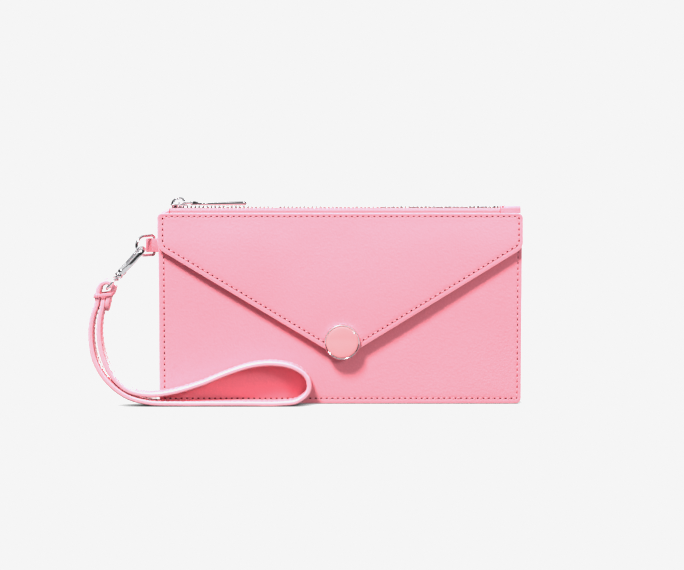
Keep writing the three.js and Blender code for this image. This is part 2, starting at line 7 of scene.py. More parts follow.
import bmesh
import bpy
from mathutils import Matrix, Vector


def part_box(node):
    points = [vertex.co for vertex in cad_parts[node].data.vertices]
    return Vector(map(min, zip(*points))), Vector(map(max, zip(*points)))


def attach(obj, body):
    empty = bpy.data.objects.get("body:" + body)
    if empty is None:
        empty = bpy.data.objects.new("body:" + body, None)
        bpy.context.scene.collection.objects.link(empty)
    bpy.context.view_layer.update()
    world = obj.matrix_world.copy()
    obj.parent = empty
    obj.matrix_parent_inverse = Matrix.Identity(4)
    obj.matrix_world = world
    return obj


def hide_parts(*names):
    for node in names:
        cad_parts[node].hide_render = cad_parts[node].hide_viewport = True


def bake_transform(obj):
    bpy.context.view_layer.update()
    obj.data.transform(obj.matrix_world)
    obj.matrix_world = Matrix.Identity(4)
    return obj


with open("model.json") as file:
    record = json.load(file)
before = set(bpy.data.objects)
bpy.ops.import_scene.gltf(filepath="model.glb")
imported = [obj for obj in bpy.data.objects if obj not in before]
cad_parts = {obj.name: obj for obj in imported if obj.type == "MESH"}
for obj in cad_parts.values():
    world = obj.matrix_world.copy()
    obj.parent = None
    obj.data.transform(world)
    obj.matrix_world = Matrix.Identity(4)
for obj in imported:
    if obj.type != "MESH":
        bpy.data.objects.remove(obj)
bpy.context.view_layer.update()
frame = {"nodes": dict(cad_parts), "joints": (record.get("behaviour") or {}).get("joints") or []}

MM = 0.001
PIVOT = {j["name"]: Vector(j["pos_m"]) for j in frame["joints"] if "pos_m" in j}
X_AXIS, Y_AXIS, Z_AXIS = Vector((1, 0, 0)), Vector((0, 1, 0)), Vector((0, 0, 1))

# ---------------------------------------------------------------- camera
VIEW_CENTRE = Vector((1.1, -8.0, 69.4)) * MM
VIEW_WIDTH = 394.8 * MM  # how much of the object's front plane the picture spans
CAMERA_DISTANCE = 1.2
CAMERA_ELEVATION = math.radians(5)


def make_camera():
    camera = bpy.data.objects.new("camera", bpy.data.cameras.new("camera"))
    bpy.context.scene.collection.objects.link(camera)
    back = Vector((0, -math.cos(CAMERA_ELEVATION), math.sin(CAMERA_ELEVATION)))
    camera.location = VIEW_CENTRE + back * CAMERA_DISTANCE
    camera.rotation_mode = "QUATERNION"
    camera.rotation_quaternion = (-back).to_track_quat("-Z", "Y")
    camera.data.lens = camera.data.sensor_width * CAMERA_DISTANCE / VIEW_WIDTH
    camera.data.clip_start = 0.05
    bpy.context.scene.camera = camera


make_camera()


# ---------------------------------------------------------------- mesh helpers
def mm(*points):
    """Points that are given in millimetres."""
    return [tuple(value * MM for value in point) for point in points]


def sweep(angle, steps):
    """Even angles from 0 to this one."""
    return [angle * k / steps for k in range(steps + 1)]


def length_of(points):
    return sum((b - a).length for a, b in zip(points, points[1:]))


def middle_and_size(node):
    low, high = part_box(node)
    return (low + high) / 2, high - low


class Parts:
    """Collects points and faces for one mesh object."""

    def __init__(self):
        self.points = []
        self.faces = []
        self.slots = []

    def add(self, shape, slot=0):
        points, faces = shape
        start = len(self.points)
        self.points.extend(points)
        self.faces.extend([start + i for i in face] for face in faces)
        slots = slot if isinstance(slot, list) else [slot] * len(faces)
        self.slots.extend(slots)
        return self

    def make(self, name, materials, body=None, replaces=(), slot=None, sharp=40):
        mesh = bpy.data.meshes.new(name)
        mesh.from_pydata([tuple(p) for p in self.points], [], self.faces)
        mesh.polygons.foreach_set("material_index", self.slots)
        tidy = bmesh.new()
        tidy.from_mesh(mesh)
        bmesh.ops.recalc_face_normals(tidy, faces=tidy.faces)
        tidy.to_mesh(mesh)
        tidy.free()
        mesh.polygons.foreach_set("use_smooth", [True] * len(mesh.polygons))
        mesh.set_sharp_from_angle(angle=math.radians(sharp))
        for material in materials:
            mesh.materials.append(material)
        made = bpy.data.objects.new(name, mesh)
        bpy.context.scene.collection.objects.link(made)
        if body:
            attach(made, body)
        if replaces:
            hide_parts(*replaces)
        return made


def loft(loops, closed=True, caps=True):
    """Faces between loops of equal length. Closed loops are rings; caps close the two ends."""
    size = len(loops[0])
    points = [p for loop in loops for p in loop]
    faces = []
    for row in range(len(loops) - 1):
        for i in range(size if closed else size - 1):
            j = (i + 1) % size
            faces.append([row * size + i, row * size + j, (row + 1) * size + j, (row + 1) * size + i])
    if caps:
        faces.append(list(range(size)))
        faces.append([(len(loops) - 1) * size + i for i in range(size)])
    return points, faces


def endless(loops):
    """A loft whose last loop joins its first, such as a ring."""
    points, faces = loft(loops + [loops[0]], caps=False)
    size, count = len(loops[0]), len(loops)
    return points[:size * count], [[i % (size * count) for i in face] for face in faces]


def catmull(points, steps, closed=False):
    """A centripetal Catmull-Rom curve through the points, with steps pieces between each two."""
    pts = [Vector(p) for p in points]
    if closed:
        pts = [pts[-1], *pts, pts[0], pts[1]]
    else:
        pts = [pts[0] * 2 - pts[1], *pts, pts[-1] * 2 - pts[-2]]
    out = []
    for a, b, c, d in zip(pts, pts[1:], pts[2:], pts[3:]):
        t = [0]
        for p, q in ((a, b), (b, c), (c, d)):
            t.append(t[-1] + math.sqrt((q - p).length))
        for step in range(steps):
            s = t[1] + (t[2] - t[1]) * step / steps
            mix = lambda p, q, i, j: (p * (t[j] - s) + q * (s - t[i])) / (t[j] - t[i])
            ab, bc, cd = mix(a, b, 0, 1), mix(b, c, 1, 2), mix(c, d, 2, 3)
            out.append(mix(mix(ab, bc, 0, 2), mix(bc, cd, 1, 3), 1, 2))
    return out if closed else out + [pts[-2].copy()]


def even(points, spacing, closed=False):
    """The same line with its points as good as spacing apart."""
    pts = [*points, points[0]] if closed else list(points)
    total = length_of(pts)
    count = max(2, round(total / spacing))
    wanted = [total * i / count for i in range(count if closed else count + 1)]
    out, gone, k = [], 0.0, 0
    for distance in wanted:
        while k < len(pts) - 2 and gone + (pts[k + 1] - pts[k]).length < distance:
            gone += (pts[k + 1] - pts[k]).length
            k += 1
        piece = pts[k + 1] - pts[k]
        out.append(pts[k] + piece * min(1, (distance - gone) / max(piece.length, 1e-12)))
    return out


def tangents(points, closed=False):
    n = len(points)
    if closed:
        return [(points[(i + 1) % n] - points[i - 1]).normalized() for i in range(n)]
    return [(points[min(i + 1, n - 1)] - points[max(i - 1, 0)]).normalized() for i in range(n)]


def swept(line, section, closed=False, side=None):
    """Loops of a section (across, out) along a line. side is the direction of across where it is
    the same all along, and a tube turns with its line where it isn't given."""
    ways = tangents(line, closed)
    across = side or ways[0].orthogonal().normalized()
    loops = []
    for k, (point, way) in enumerate(zip(line, ways)):
        if side is None:
            across = (across - way * across.dot(way)).normalized()
        out = way.cross(across)
        shape = section(k) if callable(section) else section
        loops.append([point + across * a + out * b for a, b in shape])
    return loops


def circle(radius, sides, flat=1.0):
    turns = [2 * math.pi * i / sides for i in range(sides)]
    return [(radius * math.cos(t), radius * flat * math.sin(t)) for t in turns]


def round_box(width, height, radius, steps=3):
    """A rounded rectangle round the origin, as a section."""
    points = []
    for quarter, (sx, sy) in enumerate([(1, 1), (-1, 1), (-1, -1), (1, -1)]):
        for step in range(steps + 1):
            turn = math.pi / 2 * (quarter + step / steps)
            points.append((sx * (width / 2 - radius) + radius * math.cos(turn),
                           sy * (height / 2 - radius) + radius * math.sin(turn)))
    return points


def tube(points, radius, sides=10, closed=False):
    """A round wire along the points. An open one has round ends."""
    if closed:
        return endless(swept(points, circle(radius, sides), closed=True))
    ways = tangents(points)
    line = [points[0] - ways[0] * radius * k for k in (0.85, 0.5)] + list(points)
    line += [points[-1] + ways[-1] * radius * k for k in (0.5, 0.85)]
    last = len(line) - 1
    size = {0: 0.45, 1: 0.85, last - 1: 0.85, last: 0.45}
    return loft(swept(line, lambda k: circle(radius * size.get(k, 1), sides)))


def lathe(profile, origin, axis, sides=48):
    """A profile of (radius, height) turned round the axis."""
    right = axis.orthogonal().normalized()
    ahead = axis.cross(right)
    loops = []
    for radius, height in profile:
        ring = circle(max(radius, 1e-7), sides)
        loops.append([origin + axis * height + right * a + ahead * b for a, b in ring])
    return loft(loops)


def slab(outline, thickness, bevel, place, steps=3):
    """A flat outline of (x, y) points made thick both ways, with round edges. place turns
    (x, y, height) into a point."""
    flat = [Vector(p) for p in outline]
    area = sum(a.x * b.y - b.x * a.y for a, b in zip(flat, flat[1:] + flat[:1]))
    inward = []
    for i, p in enumerate(flat):
        before = (p - flat[i - 1]).normalized()
        way = before + (flat[(i + 1) % len(flat)] - p).normalized()
        normal = Vector((-way.y, way.x)).normalized() * (1 if area > 0 else -1)
        lean = max(0.5, abs(normal.x * -before.y + normal.y * before.x))
        inward.append(normal / lean)
    half = thickness / 2
    levels = [(bevel * (1 - math.sin(t)), -half + bevel * (1 - math.cos(t)))
              for t in sweep(math.pi / 2, steps)]
    levels += [(move, -height) for move, height in reversed(levels)]
    loops = [[place(*(p + n * move), height) for p, n in zip(flat, inward)] for move, height in levels]
    return loft(loops)


# ---------------------------------------------------------------- material helpers
def linear(red, green, blue):
    """An sRGB colour, 0 to 255, as the shader wants it."""
    values = [c / 255 for c in (red, green, blue)]
    return (*[v / 12.92 if v <= 0.04045 else ((v + 0.055) / 1.055) ** 2.4 for v in values], 1)


class Paint:
    """A material and short ways to add its nodes."""

    def __init__(self, name, roughness, metallic=0.0, specular=0.5):
        self.material = bpy.data.materials.new(name)
        self.material.use_nodes = True
        self.nodes = self.material.node_tree.nodes
        self.links = self.material.node_tree.links
        self.shader = self.nodes["Principled BSDF"]
        self.shader.inputs["Roughness"].default_value = roughness
        self.shader.inputs["Metallic"].default_value = metallic
        self.shader.inputs["Specular IOR Level"].default_value = specular
        self.place = self.nodes.new("ShaderNodeTexCoord").outputs["Object"]

    def put(self, socket, value):
        if isinstance(value, bpy.types.NodeSocket):
            self.links.new(value, socket)
        else:
            socket.default_value = value

    def node(self, kind, inputs):
        """Adds a node with these inputs linked or set."""
        made = self.nodes.new(kind)
        for key, value in inputs.items():
            self.put(made.inputs[key], value)
        return made

    def stretched(self, *scale):
        node = self.node("ShaderNodeMapping", {"Vector": self.place, "Scale": scale})
        return node.outputs["Vector"]

    def noise(self, scale, detail=2.0, vector=None):
        inputs = {"Vector": vector or self.place, "Scale": scale, "Detail": detail}
        return self.node("ShaderNodeTexNoise", inputs).outputs["Fac"]

    def cells(self, scale):
        node = self.nodes.new("ShaderNodeTexVoronoi")
        node.feature = "SMOOTH_F1"
        self.put(node.inputs["Vector"], self.place)
        node.inputs["Scale"].default_value = scale
        node.inputs["Smoothness"].default_value = 0.6
        return node.outputs["Distance"]

    def bands(self, scale, direction):
        node = self.node("ShaderNodeTexWave", {"Vector": self.place, "Scale": scale})
        node.bands_direction = direction
        return node.outputs["Fac"]

    def math(self, operation, a, b):
        node = self.node("ShaderNodeMath", {0: a, 1: b})
        node.operation = operation
        return node.outputs[0]

    def remap(self, value, low, high, start=0.3, stop=0.7):
        inputs = {"Value": value, "From Min": start, "From Max": stop, "To Min": low, "To Max": high}
        return self.node("ShaderNodeMapRange", inputs).outputs["Result"]

    def blend(self, factor, first, second):
        node = self.nodes.new("ShaderNodeMix")
        node.data_type = "RGBA"
        self.put(node.inputs["Factor"], factor)
        self.put(node.inputs[6], first)
        self.put(node.inputs[7], second)
        return node.outputs[2]

    def bump(self, height, strength, depth):
        node = self.node("ShaderNodeBump", {"Strength": strength, "Distance": depth, "Height": height})
        self.links.new(node.outputs["Normal"], self.shader.inputs["Normal"])

    def colour(self, value):
        self.put(self.shader.inputs["Base Color"], value)

    def roughness(self, value):
        self.put(self.shader.inputs["Roughness"], value)


def shade(colour, factor):
    return (*[c * factor for c in colour[:3]], 1)


def leather(name, colour, roughness=0.42, grain=1.0):
    """Fine pebbled leather: cells 1.2 mm apart with finer creases, and soft changes of colour."""
    paint = Paint(name, roughness, specular=0.35)
    blotch = paint.remap(paint.noise(28, 3), 0, 1)
    pebble = paint.cells(850)
    crease = paint.noise(2200, 3)
    deep, fine = paint.math("MULTIPLY", pebble, 0.75), paint.math("MULTIPLY", crease, 0.5)
    height = paint.math("ADD", deep, fine)
    base = paint.blend(blotch, shade(colour, 0.97), shade(colour, 1.02))
    paint.colour(paint.blend(paint.remap(height, 0, 0.25, 0.35, 0.95), base, shade(colour, 0.78)))
    paint.roughness(paint.remap(crease, roughness - 0.05, roughness + 0.08))
    paint.bump(height, 0.7 * grain, 0.14 * MM)
    return paint.material


def edge_paint(name, colour):
    """The lacquer on a cut edge: smooth, with the slight waves of a brushed coat."""
    paint = Paint(name, 0.34)
    wave = paint.noise(420, 2)
    paint.colour(paint.blend(paint.remap(paint.noise(160, 2), 0, 1), shade(colour, 0.95), colour))
    paint.roughness(paint.remap(wave, 0.28, 0.42))
    paint.bump(wave, 0.25, 0.08 * MM)
    return paint.material


def thread(name, colour):
    """Twisted polyester thread, with painted shade in the grooves of its twist."""
    paint = Paint(name, 0.5)
    ply_and_shade = paint.bands(1500, "DIAGONAL")
    # painted shade: the colour darkens where the ply sinks into the twist's grooves
    paint.colour(paint.blend(ply_and_shade, shade(colour, 0.72), colour))
    paint.bump(ply_and_shade, 0.6, 0.05 * MM)
    return paint.material


def hole_shade(name, colour):
    """Painted shade for a needle hole: its pit coloured near black for the shade in it, with torn fibre
    in it.
    """
    paint = Paint(name, 0.9, specular=0.1)
    paint.colour(paint.blend(paint.noise(5000, 2), shade(colour, 0.6), colour))
    return paint.material


WAVE_TURN = 20  # a wave texture's own radians for each unit of its scale


def woven(name, colour, pitch, depth):
    """Plain weave: crossed threads, pitch metres apart, with painted shade between them."""
    paint = Paint(name, 0.85, specular=0.2)
    turns = 2 * math.pi / WAVE_TURN / pitch
    warp, weft = paint.bands(turns, "X"), paint.bands(turns, "Z")
    weave = paint.math("MAXIMUM", warp, weft)
    # painted shade in the gaps between the threads, and a slight painted highlight on their tops
    paint.colour(paint.blend(weave, shade(colour, 0.72), shade(colour, 1.03)))
    paint.bump(weave, 0.6, depth)
    paint.shader.inputs["Sheen Weight"].default_value = 0.25
    return paint.material


def chrome(name, colour, roughness):
    """Polished plate: a faint haze and hairline scratches in the gloss."""
    paint = Paint(name, roughness, metallic=1.0)
    haze = paint.noise(90, 3)
    hairline = paint.noise(900, 2, paint.stretched(1, 6, 6))
    paint.colour(paint.blend(paint.remap(haze, 0, 1), shade(colour, 0.96), colour))
    paint.roughness(paint.remap(hairline, roughness * 0.6, roughness * 1.7))
    paint.bump(haze, 0.05, 0.05 * MM)
    return paint.material


def brushed(name, colour):
    """Satin plate, brushed along X."""
    paint = Paint(name, 0.34, metallic=1.0)
    lines = paint.noise(700, 3, paint.stretched(0.4, 6, 6))
    paint.colour(paint.blend(lines, shade(colour, 0.85), colour))
    paint.roughness(paint.remap(lines, 0.26, 0.44))
    paint.bump(lines, 0.15, 0.03 * MM)
    return paint.material


def glossy_enamel(name, colour):
    """Poured enamel: deep gloss with slight flow marks."""
    paint = Paint(name, 0.1)
    flow = paint.noise(140, 2)
    paint.colour(paint.blend(paint.remap(flow, 0, 1), shade(colour, 0.97), colour))
    paint.roughness(paint.remap(flow, 0.07, 0.14))
    paint.bump(flow, 0.06, 0.08 * MM)
    paint.shader.inputs["Coat Weight"].default_value = 0.6
    paint.shader.inputs["Coat Roughness"].default_value = 0.04
    return paint.material


PINK = linear(247, 146, 158)
OUTER = leather("outer_leather", PINK)
INNER = leather("inner_leather", shade(PINK, 0.92), roughness=0.6, grain=0.6)
STRAP = leather("strap_leather", linear(247, 152, 164), grain=0.8)
EDGE = edge_paint("painted_edge", linear(249, 170, 181))
THREAD = thread("thread", linear(250, 176, 186))
# painted shade: near black, for the shade inside the needle holes
HOLE_SHADE = hole_shade("hole_shade", linear(84, 3, 18))
TAPE = woven("zip_tape_weave", linear(247, 150, 160), 0.55 * MM, 0.08 * MM)
LINING = woven("lining_weave", linear(232, 150, 172), 0.4 * MM, 0.05 * MM)
CHROME = chrome("chrome", linear(226, 226, 229), 0.09)
STEEL = brushed("satin_steel", linear(205, 205, 208))
ENAMEL = glossy_enamel("enamel", linear(247, 153, 156))

# a material and its slot
PLATED = (CHROME, "polished_metal")
NICKEL = (STEEL, "snap_steel")
LEATHER = (OUTER, "leather_outer")
STRAP_LEATHER = (STRAP, "strap_leather")


def cover(node, name, body, look, *shapes, sharp=40):
    """Closed shapes of one material, as one object in place of a CAD node."""
    parts = Parts()
    for shape in shapes:
        parts.add(shape)
    return parts.make(name, [look[0]], body, [node], look[1], sharp)


# ---------------------------------------------------------------- leather panels and stitches
STITCH_PITCH = 3.24 * MM
STITCH_INSET = 3.1 * MM
STITCH_SINK = 0.22 * MM  # how far a panel's stitches start below its CAD face
THREAD_RADIUS = 0.2 * MM
HOLE_LONG = 0.8 * MM  # half of a needle hole along its row
HOLE_WIDE = 0.42 * MM
# a thread from hole to hole: (share of the way, height in mm)
THREAD_ARCH = [(0.16, -0.22), (0.25, 0.02), (0.38, 0.14), (0.5, 0.17),
               (0.62, 0.14), (0.75, 0.02), (0.84, -0.22)]
# a needle hole from its rim to its bottom: (share of its size, height in mm)
HOLE_RINGS = [(1.0, 0.02), (0.85, 0.05), (0.5, -0.05), (0.15, -0.12)]
LOOP_SPACING = 1.6 * MM
CORNER_STEPS = 6
PANEL_RIM = 6 * MM  # where a panel's full middle starts


def crossing(p, u, q, v):
    """Where the line through p along u meets the line through q along v."""
    gap = q - p
    return p + u * ((gap.x * v.y - gap.y * v.x) / (u.x * v.y - u.y * v.x))


def outline(corners, inset=0.0):
    """A convex outline with round corners, moved in. A corner is (x, z, setback of its curve,
    share of the inset that the side after it takes). Every inset gives as many points."""
    ats = [Vector(c[:2]) for c in corners]
    count = len(corners)
    sides = []
    for i, corner in enumerate(corners):
        way = (ats[(i + 1) % count] - ats[i]).normalized()
        sides.append((ats[i] + Vector((-way.y, way.x)) * inset * corner[3], way))
    starts, ends = [], []
    for i, corner in enumerate(corners):
        (p, u), (q, v) = sides[i - 1], sides[i]
        at = crossing(p, u, q, v)
        half = (-u).angle(v) / 2
        setback = max(corner[2] - inset / math.tan(half), 0.15 * MM)
        starts.append((at - u * setback, at))
        ends.append(at + v * setback)
    points = []
    for i in range(count):
        start, at = starts[i]
        for step in range(CORNER_STEPS):
            t = step / CORNER_STEPS
            points.append(start * (1 - t) ** 2 + at * 2 * t * (1 - t) + ends[i] * t * t)
        full = (ats[(i + 1) % count] - ats[i]).length
        pieces = max(1, round(full / LOOP_SPACING))
        following = starts[(i + 1) % count][0]
        points += [ends[i].lerp(following, k / pieces) for k in range(pieces)]
    return points


def panel(corners, thickness, place, groove=True, crown=0.25 * MM):
    """A leather piece: painted round edge, pressed stitching groove and slightly full middle.
    Returns the shape and each face's slot: 0 is leather, and 1 is the painted edge."""
    t, s, rim = thickness / MM, STITCH_INSET / MM, PANEL_RIM / MM
    e = min(0.5, t * 0.45)
    levels = [(rim, 0), (e, 0), (e * 0.35, t * 0.1), (0.03, t * 0.3), (0, t * 0.5),
              (0.03, t * 0.7), (e * 0.35, t * 0.92), (e, t)]
    edge_rows = range(1, len(levels) - 1)
    if groove:
        levels += [(e + 0.9, t + 0.03), (s - 0.6, t), (s - 0.2, t - 0.08),
                   (s + 0.2, t - 0.08), (s + 0.6, t + 0.02)]
    levels += [(s + 1.6, t + 0.1), (rim, t + 0.15)]
    loops = [[(p, height) for p in outline(corners, inset)] for inset, height in mm(*levels)]
    inner = loops[-1]
    middle = sum((p for p, _ in inner), Vector((0, 0))) / len(inner)
    for k in (0.85, 0.7, 0.55, 0.4, 0.25, 0.1):
        height = thickness + 0.15 * MM + crown * (1 - k * k)
        loops.append([(middle.lerp(p, k), height) for p, _ in inner])
    shape = loft([[place(p.x, p.y, height) for p, height in loop] for loop in loops])
    slots = [1 if row in edge_rows else 0 for row in range(len(loops) - 1) for _ in inner]
    return shape, slots + [0, 0]


class Seam:
    """Rows of stitches: threads, and a needle hole at each end of each thread, coloured with painted
    shade.
    """

    def __init__(self):
        self.threads = Parts()
        self.holes = Parts()

    def row(self, line, place, closed=False, pitch=STITCH_PITCH):
        """Stitches along a line of (x, z). place turns (x, z, height) into a point."""
        spots = even([Vector(p) for p in line], pitch, closed)
        for i in range(len(spots) if closed else len(spots) - 1):
            a, b = spots[i], spots[(i + 1) % len(spots)]
            arch = [place(*a.lerp(b, share), lift * MM) for share, lift in THREAD_ARCH]
            self.threads.add(tube(arch, THREAD_RADIUS, 6))
        for spot, way in zip(spots, tangents(spots, closed)):
            side = Vector((-way.y, way.x))
            rings = []
            for size, lift in HOLE_RINGS:
                turns = circle(HOLE_LONG * size, 8, HOLE_WIDE / HOLE_LONG)
                rings.append([place(*(spot + way * a + side * b), lift * MM) for a, b in turns])
            self.holes.add(loft(rings))

    def rows(self, corners, place):
        """One row from each corner to the next."""
        for pair in zip(corners, corners[1:]):
            self.row(pair, place)

    def make(self, name, body=None, slot="leather_outer"):
        return [self.threads.make(f"{name}_threads", [THREAD], body, slot=slot),
                self.holes.make(f"{name}_needle_holes_shaded", [HOLE_SHADE], body, slot=slot)]


# ---------------------------------------------------------------- wrist strap
STRAP_HALF = 5.5 * MM
STRAP_THICK = 2.7 * MM
STRAP_STITCH = 3.0 * MM
ROUNDED_END = 4  # loops over which the strap's ends get narrower
KEEPER_BAND = 0.5 * MM  # how thick the keeper is
KEEPER_TIGHT = 0.4 * MM  # the leather hugs the layers closer than its CAD band
KEEPER_RAISE = 0.7 * MM
KEEPER_SLANT = 0.12  # how much it rises to the right
# the strap's middle line, (x, z) in millimetres: from the end under the keeper, down and round the
# wrist loop, back along the ground, up round the hook's eye, and down to its other end
STRAP_ROUTE = [
    (-135.9, 64.9), (-136.2, 58.5), (-137.9, 50.5), (-138.4, 41.0), (-136.7, 30.0),
    (-131.4, 17.8), (-122.8, 9.5), (-111.5, 6.6), (-98.5, 7.7), (-81.0, 12.6),
    (-64.5, 19.3), (-51.5, 23.4), (-38.5, 24.7), (-26.0, 22.2), (-18.8, 16.3),
    (-18.1, 8.9), (-24.3, 3.0), (-35.0, 1.45), (-54.5, 1.45), (-75.0, 1.45),
    (-95.0, 1.45), (-110.0, 2.1), (-122.9, 5.8), (-134.2, 14.9), (-141.0, 26.5),
    (-143.2, 40.0), (-142.1, 51.5), (-139.2, 60.4), (-138.9, 65.2), (-137.5, 70.0),
    (-134.2, 72.0), (-130.9, 70.6), (-130.0, 67.6), (-132.3, 64.3), (-133.1, 61.2),
    (-134.0, 55.2),
]


def strap_section():
    """The strap's section, (across, out): two layers with painted round edges and a stitching
    groove along each edge."""
    w, t = STRAP_HALF / MM, STRAP_THICK / 2 / MM
    edge = [(w - 0.12, 0), (w, 0.03), (w + 0.02, 0.4), (w - 0.1, t - 0.35), (w - 0.45, t - 0.03),
            (w - 1.0, t)]
    groove = [(w - 1.35, t - 0.02), (w - 1.55, t - 0.12), (w - 1.85, t - 0.12),
              (w - 2.05, t - 0.02), (w - 3.4, t + 0.02)]
    quarter = mm(*edge, *groove)
    upper = quarter + [(-a, b) for a, b in reversed(quarter)]
    return upper + [(a, -b) for a, b in reversed(upper)][1:-1]


def build_strap():
    y = PIVOT["strap_swing"].y
    line = even(catmull([(x * MM, y, z * MM) for x, z in STRAP_ROUTE], 8), 1.6 * MM)
    section = strap_section()

    def narrowed(k):
        away = min(k, len(line) - 1 - k) / ROUNDED_END
        size = math.sqrt(max(0.0, 1 - (1 - min(1, away)) ** 2))
        return [(a * (0.55 + 0.45 * size), b * (0.7 + 0.3 * size)) for a, b in section]

    loops = swept(line, narrowed, side=Y_AXIS)
    reach = STRAP_HALF - 0.7 * MM  # beyond it lies the painted edge
    sides = zip(section, section[1:] + section[:1])
    painted = [1 if min(abs(a[0]), abs(b[0])) > reach else 0 for a, b in sides]
    strap = Parts().add(loft(loops), painted * (len(loops) - 1) + [1, 1]).make(
        "strap", [STRAP, EDGE], "strap", ["wrist_strap"], "strap_leather")

    ways, length = tangents(line), length_of(line)
    surface = STRAP_THICK / 2 - 0.1 * MM
    seam = Seam()
    for face in (1, -1):
        for row in (1, -1):
            across = row * (STRAP_HALF - 1.7 * MM)

            def place(distance, sideways, lift):
                k = min(max(distance / length * (len(line) - 1), 0), len(line) - 1.001)
                i, part = int(k), k - int(k)
                point = line[i].lerp(line[i + 1], part) + Y_AXIS * (across + sideways)
                out = ways[i].lerp(ways[i + 1], part).normalized().cross(Y_AXIS)
                return point + out * (face * (surface + lift))

            seam.row([(4 * MM, 0), (length - 4 * MM, 0)], place, pitch=STRAP_STITCH)
    pieces = seam.make("strap", "strap", "strap_leather") + build_keeper()


def build_keeper():
    """The band round the strap's layers, closed by three stitches on its front."""
    low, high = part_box("strap_keeper")
    middle, size = (low + high) / 2 + Z_AXIS * KEEPER_RAISE, high - low
    wide, deep = (side - 2 * KEEPER_TIGHT - KEEPER_BAND for side in (size.x, size.y))
    ring = [middle + Vector((x, y, KEEPER_SLANT * x)) for x, y in round_box(wide, deep, 1.3 * MM, 6)]
    section = [(b, a) for a, b in round_box(KEEPER_BAND, size.z - KEEPER_TIGHT, 0.24 * MM)]
    side = Vector((KEEPER_SLANT, 0, 1)).normalized()
    loops = swept(even(ring, 0.6 * MM, closed=True), section, closed=True, side=side)
    keeper = cover("strap_keeper", "keeper", "strap", STRAP_LEATHER, endless(loops))

    front = low.y + KEEPER_TIGHT - 0.05 * MM
    threads = Parts()
    for x in (1.3, 2.4, 3.5):
        at = Vector((low.x + x * MM, front, middle.z - 0.9 * MM))
        bar = mm(*[(0, 0.12 * (k * k - 1), 0.8 * k) for k in (-1, -0.5, 0, 0.5, 1)])
        threads.add(tube([at + Vector(p) for p in bar], THREAD_RADIUS, 6))
    return [keeper, threads.make("keeper_threads", [THREAD], "strap", slot="strap_leather")]


build_strap()

# ---------------------------------------------------------------- case
HALF_WIDTH = 105 * MM
CASE_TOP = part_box("back_panel")[1].z
CORNER = 3.75 * MM
RIGHT_SHARE = 0.72  # the stitches run nearer the right side
TOP_SHARE = 0.6  # and nearer the top
GUSSET_THICK = 1.2 * MM
GUSSET_DIP = 0.35 * MM  # how far it is hollowed between the panels


def rectangle(bottom, top, low_corner, high_corner):
    """Corners of a panel as wide as the case, counter-clockwise from the lower left."""
    return [(-HALF_WIDTH, bottom, low_corner, 1.0), (HALF_WIDTH, bottom, low_corner, RIGHT_SHARE),
            (HALF_WIDTH, top, high_corner, TOP_SHARE), (-HALF_WIDTH, top, high_corner, 1.0)]


def facing(y, towards=-1):
    """place() for a sheet in the X-Z plane whose back lies at y and whose front faces that way."""
    return lambda x, z, height: Vector((x, y + towards * height, z))


def build_panels():
    # name, CAD node, upper corners, the way it faces, and whether its edge is stitched
    layers = [
        ("front_pocket", "front_pocket_panel", 0.8 * MM, -1, True),
        ("main_front", "main_front_panel", 1.5 * MM, -1, False),
        ("flap_facing", "flap_facing_strip", 1.2 * MM, -1, False),
        ("back", "back_panel", 1.5 * MM, 1, True),
    ]
    for name, node, high_corner, towards, sewn in layers:
        low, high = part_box(node)
        corners = rectangle(low.z, high.z, CORNER if low.z < MM else 0.5 * MM, high_corner)
        thickness = high.y - low.y - (0.15 * MM if sewn else 0.2 * MM)
        place = facing(high.y if towards < 0 else low.y, towards)
        shape, slots = panel(corners, thickness, place, sewn, 0.25 * MM if sewn else 0)
        Parts().add(shape, slots).make(name, [OUTER, EDGE], "case", [node], "leather_outer")

    front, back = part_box("front_pocket_panel"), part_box("back_panel")
    s = STITCH_INSET
    left, right = -HALF_WIDTH + s, HALF_WIDTH - s * RIGHT_SHARE
    seam = Seam()
    top = front[1].z - 2 * MM
    seam.rows([(left, top), (left, s), (right, s), (right, top)], facing(front[0].y + STITCH_SINK))
    top = CASE_TOP - s * TOP_SHARE
    seam.rows([(left, top), (left, s), (right, s), (right, top), (left, top)],
              facing(back[1].y - STITCH_SINK, 1))
    seam.make("case", "case")


def build_gusset():
    """A strip round three sides."""
    low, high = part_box("gusset")
    thick = GUSSET_THICK
    reach, radius, base = high.x - thick / 2, CORNER - thick / 2, low.z + thick / 2
    line = [(-reach, high.z)]
    line += [(-reach + radius * (1 - math.cos(t)), base + radius * (1 - math.sin(t)))
             for t in sweep(math.pi / 2, 6)]
    line += [(-x, z) for x, z in reversed(line)]
    path = even([Vector((x, (low.y + high.y) / 2, z)) for x, z in line], 1.5 * MM)
    outside = [((high.y - low.y) / 2 * k, -thick / 2 + GUSSET_DIP * (1 - k * k))
               for k in (-1, -0.6, -0.3, 0, 0.3, 0.6, 1)]
    section = outside + [(a, b + thick * 0.85) for a, b in reversed(outside)]
    strip = loft(swept(path, section, side=Y_AXIS))
    cover("gusset", "gusset_strip", "case", LEATHER, strip, sharp=60)


def line_with_cloth(node):
    """Gives a CAD node the lining's cloth and soft edges."""
    made = frame["nodes"][node]
    made.data.materials.clear()
    made.data.materials.append(LINING)
    edges = made.modifiers.new("edges", "BEVEL")
    edges.width = 0.12 * MM
    edges.segments = 2
    edges.limit_method = "ANGLE"
    edges.angle_limit = math.radians(35)


build_panels()
build_gusset()
for lining in ("lining_front", "lining_back", "inner_card_pocket"):
    line_with_cloth(lining)

# ---------------------------------------------------------------- flap
FLAP_HALF = 105.3 * MM
FLAP_SHOULDER_Z = 90.5 * MM
FLAP_POINT = (1.2 * MM, 26.5 * MM)
HINGE = PIVOT["flap_hinge"]
FLAP_REACH = 2.46 * MM  # how far the flap stands forward at its lower end
FLAP_DROP = 80 * MM
FLAP_LEATHER = 1.2 * MM
FLAP_WAVE = 0.22 * MM  # how far the leather's face rises and falls
WAVE_START = 12 * MM  # below the hinge line, where it does so in full


